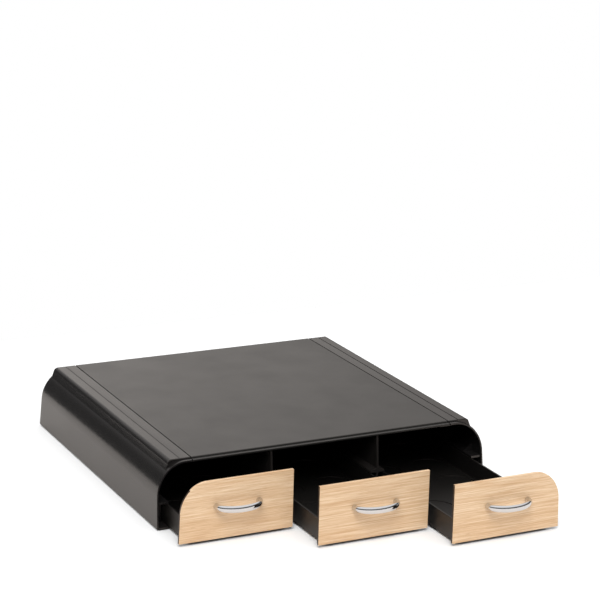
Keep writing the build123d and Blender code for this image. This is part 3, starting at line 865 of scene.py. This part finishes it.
flat_profile = [(0, 0), (screw_head / 2, 0), (screw_shank / 2, screw_head_cone)]
base_screw_end = boss_top - base_thickness - screw_tip_gap
base_screw = turned("base_screw", flat_profile + [(screw_shank / 2, base_screw_end), (0, 0)])
cut_cross(base_screw, 0)
base_places = [(x, y, 0) for x in (-base_boss_x, -divider_x, divider_x, base_boss_x)
               for y in (-base_boss_y, base_boss_y)]
base_screws = copies_at(base_screw, base_places, 0)
back_screw_end = wall + back_boss_length - boss_radius / 2
back_screw = turned("back_screw", flat_profile + [(screw_shank / 2, back_screw_end), (0, 0)])
cut_cross(back_screw, 0)
back_places = [(side * x, back_at(z), z) for side in (-1, 1) for x, z in back_boss_places]
back_screws = copies_at(back_screw, back_places, math.pi / 2 + back_lean)
for piece, name in ((base_screws, "base_screws"), (back_screws, "back_screws")):
    set_in_place(piece)
    shade(piece)
    piece.data.materials.append(zinc)
    hand_over(piece, name + "_zinc", "case", "screw_steel", name)


# ---- trays
# Low open ABS trays, one shot each: round seats in the floor, two runner beads below, a stop lug on each side
# near the back, and a tab in front that the pull's screws clamp to the board.
tray_width, tray_length = 99.0, 309.0
tray_bottom, tray_top, tray_floor, tray_wall, tray_corner = 1.9, 22.0, 1.8, 1.8, 5.0
seat_diameter, seat_depth, seat_round = 39.0, 0.8, 0.3
seat_x, first_seat, seat_pitch, seat_rows = 25.85, 26.0, 51.2, 6
tab_half, tab_root, tab_top, tab_corner = 31.0, tray_top - 1.0, 42.0, 8.0
runner_inset, runner_width, runner_height = 12.0, 4.0, 0.3
lug_y, lug_length, lug_low, lug_height, lug_reach = 235.4, 8.0, 10.5, 8.0, 3.0
floor_round, rim_round = 1.2, 0.4
pull_height, pull_half = 33.3, 21.0
pull_hole = 1.6
stands_open = {"left": 44.3, "middle": 94.0, "right": 136.7}
board_x = {"left": -112.55, "middle": 0.0, "right": 112.55}
tray_x = {"left": -111.05, "middle": 0.0, "right": 111.05}


def rounded_block(name, x_half, y0, y1, z0, z1, corner):
    """Block whose upright corners are rounded."""
    bpy.ops.object.select_all(action="DESELECT")
    bpy.ops.mesh.primitive_cube_add(size=mm, location=(0, (y0 + y1) / 2 * mm, (z0 + z1) / 2 * mm))
    block = bpy.context.object
    block.name = name
    block.scale = (2 * x_half, y1 - y0, z1 - z0)
    into_mesh()
    bpy.ops.object.mode_set(mode="EDIT")
    bpy.ops.mesh.select_mode(type="EDGE")
    bpy.ops.mesh.select_all(action="DESELECT")
    bm = bmesh.from_edit_mesh(block.data)
    for edge in bm.edges:
        edge.select = abs(edge.verts[0].co.z - edge.verts[1].co.z) > flush * mm
    bmesh.update_edit_mesh(block.data)
    bpy.ops.mesh.bevel(offset=corner * mm, segments=8, affect="EDGES")
    bpy.ops.object.mode_set(mode="OBJECT")
    return block


def drill(piece, centre, depth):
    """Drill a hole for a pull screw from front to back."""
    combine(piece, round_bar("hole", pull_hole, depth, centre, math.pi / 2, 24), "DIFFERENCE")


# The trays are duller than the case, so they hardly mirror the floor beside them. Their colour, blacker than
# the case's inner mouldings, is painted shade.
tray_abs_painted_shade = moulded_plastic("abs_dull_mould_painted_shade", "#121110", 0.5, 0.03, 0.7, 0.01)
floor_top = tray_bottom + tray_floor
tray = rounded_block("tray", tray_width / 2, 0, tray_length, tray_bottom, tray_top, tray_corner)
cavity = rounded_block(
    "cavity", tray_width / 2 - tray_wall, tray_wall, tray_length - tray_wall, floor_top, tray_top + margin,
    tray_corner - tray_wall)
combine(tray, cavity, "DIFFERENCE")
round_edges(tray, lambda x, y, z: near(z, floor_top), floor_round, 4)
for x in (-seat_x, seat_x):
    for row in range(seat_rows):
        place = (x, first_seat + row * seat_pitch, floor_top)
        combine(tray, round_bar("seat", seat_diameter / 2, 2 * seat_depth, place, sides=96), "DIFFERENCE")
floor_edge = tray_wall + floor_round + flush
round_edges(
    tray,
    lambda x, y, z: near(z, floor_top) and abs(x) < tray_width / 2 - floor_edge
    and floor_edge < y < tray_length - floor_edge,
    seat_round)
tab = draw_outline("tab", (-tab_half, tab_root), [
    (-tab_half, tab_top - tab_corner),
    (-tab_half + tab_corner, tab_top - tab_corner, math.pi / 2),
    (tab_half - tab_corner, tab_top),
    (tab_half - tab_corner, tab_top - tab_corner, math.pi / 2),
    (tab_half, tab_root),
])
pull_along_y(tab, 0, tray_wall)
for bay, x in tray_x.items():
    copy = own_copy(tray)
    own_tab = own_copy(tab)
    shift = board_x[bay] - x
    move(own_tab, shift, 0, 0)
    combine(copy, own_tab, "UNION")
    round_edges(copy, lambda x, y, z: z > tray_top - flush, rim_round)
    for side in (-1, 1):
        runner_x = side * (tray_width / 2 - runner_inset)
        runner = box(
            "runner", runner_x - runner_width / 2, runner_x + runner_width / 2, tray_corner,
            tray_length - tray_corner, tray_bottom - runner_height, tray_bottom + overlap)
        combine(copy, runner, "UNION")
        ends = sorted((side * (tray_width - tray_wall) / 2, side * (tray_width / 2 + lug_reach)))
        lug = box("lug", *ends, lug_y, lug_y + lug_length, lug_low, lug_low + lug_height)
        round_edges(lug, lambda x, y, z: abs(x) > tray_width / 2, rim_round)
        combine(copy, lug, "UNION")
        drill(copy, (shift + side * pull_half, 0, pull_height), 4 * tray_wall)
    move(copy, x, board_back, 0)
    set_in_place(copy, stands_open[bay])
    shade(copy)
    # The tray material's extra blackness is painted shade; its higher roughness is real.
    copy.data.materials.append(tray_abs_painted_shade)
    hand_over(copy, bay + "_tray_moulding", bay + "_drawer", "inner_black_plastic", bay + "_tray")
bpy.data.objects.remove(tray)
bpy.data.objects.remove(tab)


# ---- drawer fronts
# Thin black boards with an oak-grain face that wraps over their top edge. The outer two follow the shoulder
# of the mouth. Cut to size, edges eased, and clamped between pull and tray by the pull's screws.
board_bottom, board_thickness = 1.9, 3.0
front_gap = 1.0
front_half = 55.7
board_round = 0.35
wraps_front, wraps_top = -0.35, 0.75        # how far a face may turn away and still carry the foil
sway_size, sway_by = 90.0, 2.0
pore_depth = 0.02
board_radius = shoulder_radius - wall - front_gap
board_foot = round_point(shoulder_centre, board_radius, math.pi - side_draft)
board_low_x = board_foot[0] - (board_foot[1] - board_bottom) * math.tan(side_draft)
inner_x = board_x["left"] + front_half

outer_board = draw_outline("outer_board", (board_low_x, board_bottom), [
    board_foot,
    (*shoulder_centre, shoulder_sweep),
    (*arch_centre, arch_sweep),
    (inner_x, mouth_height - front_gap),
    (inner_x, board_bottom),
])
pull_along_y(outer_board, board_back - board_thickness, board_back)
middle_board = box(
    "middle_board", -front_half, front_half, board_back - board_thickness, board_back,
    board_bottom, mouth_height - front_gap)
right_board = mirrored(outer_board)

# Oak-grain foil, pressed with a fine pore: pale straw ground, darker streaks along the board that are drawn
# wide enough to show, broad warm bands, and a soft low sheen.
oak, tree = new_material("oak_grain_foil_pressed")
place = add_node(tree, "ShaderNodeTexCoord")
spot = place.outputs["Object"]
sway = add_node(
    tree, "ShaderNodeTexNoise", {"Scale": 1 / (sway_size * mm), "Detail": 1.0}, {"Vector": spot})
bend = add_node(
    tree, "ShaderNodeVectorMath", {1: (0, 0, sway_by * mm)}, {0: sway.outputs["Color"]},
    operation="MULTIPLY")
bent = add_node(tree, "ShaderNodeVectorMath", links={0: spot, 1: bend.outputs[0]}, operation="ADD")


def streaks(tree, source, streak_length, streak_width, detail):
    """Noise drawn out along the board, from the length and width of its streaks in millimetres."""
    along, across = 1 / (streak_length * mm), 1 / (streak_width * mm)
    size = add_node(tree, "ShaderNodeMapping", {"Scale": (along, along, across)}, {"Vector": source})
    return add_node(
        tree, "ShaderNodeTexNoise", {"Scale": 1.0, "Detail": detail, "Roughness": 0.6},
        {"Vector": size.outputs[0]})


fine = streaks(tree, bent.outputs[0], 34, 0.65, 2.0)
broad = streaks(tree, bent.outputs[0], 160, 5.0, 2.0)
pores = streaks(tree, bent.outputs[0], 11, 0.4, 1.0)
ground = add_node(
    tree, "ShaderNodeValToRGB", links={"Fac": fine.outputs["Fac"]},
    stops=[(0.3, linear("#cba883")), (0.5, linear("#dcc09f")), (0.7, linear("#ebd5b9"))])
band = add_node(
    tree, "ShaderNodeValToRGB", links={"Fac": broad.outputs["Fac"]},
    stops=[(0.35, linear("#f1e2d0")), (0.65, linear("#fffaf4"))])
toned = add_node(
    tree, "ShaderNodeMix", {"Factor": 0.8}, {6: ground.outputs["Color"], 7: band.outputs["Color"]},
    data_type="RGBA", blend_type="MULTIPLY")
pore_mask = add_node(
    tree, "ShaderNodeValToRGB", links={"Fac": pores.outputs["Fac"]},
    stops=[(0.62, grey(0)), (0.72, grey(0.5))])
pored = add_node(
    tree, "ShaderNodeMix", {7: linear("#b58a63")}, {0: pore_mask.outputs["Color"], 6: toned.outputs[2]},
    data_type="RGBA")
relief = add_node(
    tree, "ShaderNodeBump", {"Strength": 1.0, "Distance": pore_depth * mm}, {"Height": fine.outputs["Fac"]})
surface = add_node(
    tree, "ShaderNodeBsdfPrincipled", {"Roughness": 0.48, "IOR": 1.5},
    {"Base Color": pored.outputs[2], "Normal": relief.outputs[0]})
add_node(tree, "ShaderNodeOutputMaterial", links={"Surface": surface.outputs[0]})
# Dyed core of the board, nearly black all through: a thin dark line at the sides of each front.
board_core = moulded_plastic("board_core_black", "#24180f", 0.5, 0.03, 0.5, 0.004)

for piece, bay in ((outer_board, "left"), (middle_board, "middle"), (right_board, "right")):
    round_edges(piece, lambda x, y, z: True, board_round)
    for side in (-1, 1):
        drill(piece, (board_x[bay] + side * pull_half, board_back, pull_height), 4 * board_thickness)
    piece.data.materials.append(oak)
    piece.data.materials.append(board_core)
    for face in piece.data.polygons:
        foil = face.normal.y < wraps_front or face.normal.z > wraps_top
        face.material_index = 0 if foil else 1
    set_in_place(piece, stands_open[bay])
    shade(piece)
    hand_over(piece, bay + "_board", bay + "_drawer", "front_board", bay + "_front")


# ---- bow pulls
# Die-cast zinc bow, polished and chromed: two round feet that swell into a taller and flatter arched bar.
# Each foot has a threaded hole for a screw from behind.
pull_post, pull_arch, pull_foot = 2.0, 13.1, 5.6
bar_tall, bar_deep = 6.6, 4.0
bow_steps, foot_edge_steps, ring_points = 40, 4, 32
pull_bite = 3.5
foot_edge_round = 0.8
front_y = board_back - board_thickness
haze_size = 4.0


def bow_section(py):
    """Height and depth of the bow's oval section, from how far it stands off the board."""
    thin = math.sin(math.pi / 2 * min(1.0, -py / (pull_post + pull_arch)))
    short = max(0.0, foot_edge_round + py)
    foot = pull_foot - 2 * (foot_edge_round - math.sqrt(foot_edge_round ** 2 - short ** 2))
    return foot + (bar_tall - pull_foot) * thin, foot + (bar_deep - pull_foot) * thin


foot_steps = [
    foot_edge_round * (1 - math.cos(math.pi / 2 * i / foot_edge_steps)) for i in range(foot_edge_steps + 1)]
foot_steps.append(pull_post * 2 / 3)
stations = [(-pull_half, -off, 0.0) for off in foot_steps]
for i in range(bow_steps + 1):
    turn = math.pi * i / bow_steps
    heading = math.atan2(pull_half * math.sin(turn), pull_arch * math.cos(turn))
    stations.append((-pull_half * math.cos(turn), -pull_post - pull_arch * math.sin(turn), heading))
stations += [(pull_half, -off, math.pi) for off in reversed(foot_steps)]

bpy.ops.object.select_all(action="DESELECT")
bpy.ops.mesh.primitive_circle_add(
    vertices=ring_points, radius=bow_section(0)[0] / 2 * mm, fill_type="NGON",
    location=(-pull_half * mm, 0, 0), rotation=(math.pi / 2, 0, 0))
bow = bpy.context.object
bow.name = "bow"
into_mesh()
edit_all(bow)
for (x0, y0, a0), (x1, y1, a1) in zip(stations, stations[1:]):
    bpy.ops.mesh.extrude_region_move(
        TRANSFORM_OT_translate={"value": ((x1 - x0) * mm, (y1 - y0) * mm, 0)})
    here = (x1 * mm, y1 * mm, 0)
    bpy.ops.transform.rotate(value=-(a1 - a0), orient_axis="Z", center_override=here)
    tall0, deep0 = bow_section(y0)
    tall1, deep1 = bow_section(y1)
    bpy.ops.transform.resize(value=(deep1 / deep0, deep1 / deep0, tall1 / tall0), center_override=here)
face_outwards()
for side in (-1, 1):
    drill(bow, (side * pull_half, 0, 0), 2 * pull_bite)

# Bright chrome over polished zinc: near-mirror, so the bar shows white table and sky and a dark horizon.
chrome, tree = new_material("zinc_die_cast_chromed")
place = add_node(tree, "ShaderNodeTexCoord")
haze = add_node(
    tree, "ShaderNodeTexNoise", {"Scale": 1 / (haze_size * mm), "Detail": 3.0},
    {"Vector": place.outputs["Object"]})
rough = add_node(tree, "ShaderNodeMapRange", {"To Min": 0.04, "To Max": 0.1}, {"Value": haze.outputs["Fac"]})
surface = add_node(
    tree, "ShaderNodeBsdfPrincipled", {"Base Color": linear("#d8d8d9"), "Metallic": 1.0},
    {"Roughness": rough.outputs[0]})
add_node(tree, "ShaderNodeOutputMaterial", links={"Surface": surface.outputs[0]})
for bay, x in board_x.items():
    pull = own_copy(bow)
    move(pull, x, front_y, pull_height)
    set_in_place(pull, stands_open[bay])
    shade(pull)
    pull.data.materials.append(chrome)
    hand_over(pull, bay + "_bow_pull", bay + "_drawer", "pull_chrome", bay + "_pull")
bpy.data.objects.remove(bow)


# ---- pull screws
# Zinc-plated pan-head steel screws with a cross recess: two from inside each tray, through tab and board,
# into the threaded holes in the pull's feet.
shank_radius, pan_radius, pan_height = 1.5, 3.0, 2.0
pan_dome = [(0.7, 0.0), (0.15, 0.55), (0.0, 1.5)]       # in from the head's rim, down from its top
screw_bite = 3.4
screw_end = tray_wall + board_thickness + screw_bite
pan_profile = [(0, -pan_height)]
pan_profile += [(pan_radius - inwards, down - pan_height) for inwards, down in pan_dome]
pan_profile += [(pan_radius, 0), (shank_radius, 0), (shank_radius, screw_end), (0, screw_end)]
for bay, x in board_x.items():
    screw = turned("pan_screw", pan_profile)
    cut_cross(screw, -pan_height)
    places = [(x + side * pull_half, board_back + tray_wall, pull_height) for side in (-1, 1)]
    screws = copies_at(screw, places, math.pi / 2)
    set_in_place(screws, stands_open[bay])
    shade(screws)
    screws.data.materials.append(zinc)
    hand_over(screws, bay + "_pull_screws_zinc", bay + "_drawer", "screw_steel", bay + "_pull_screws")
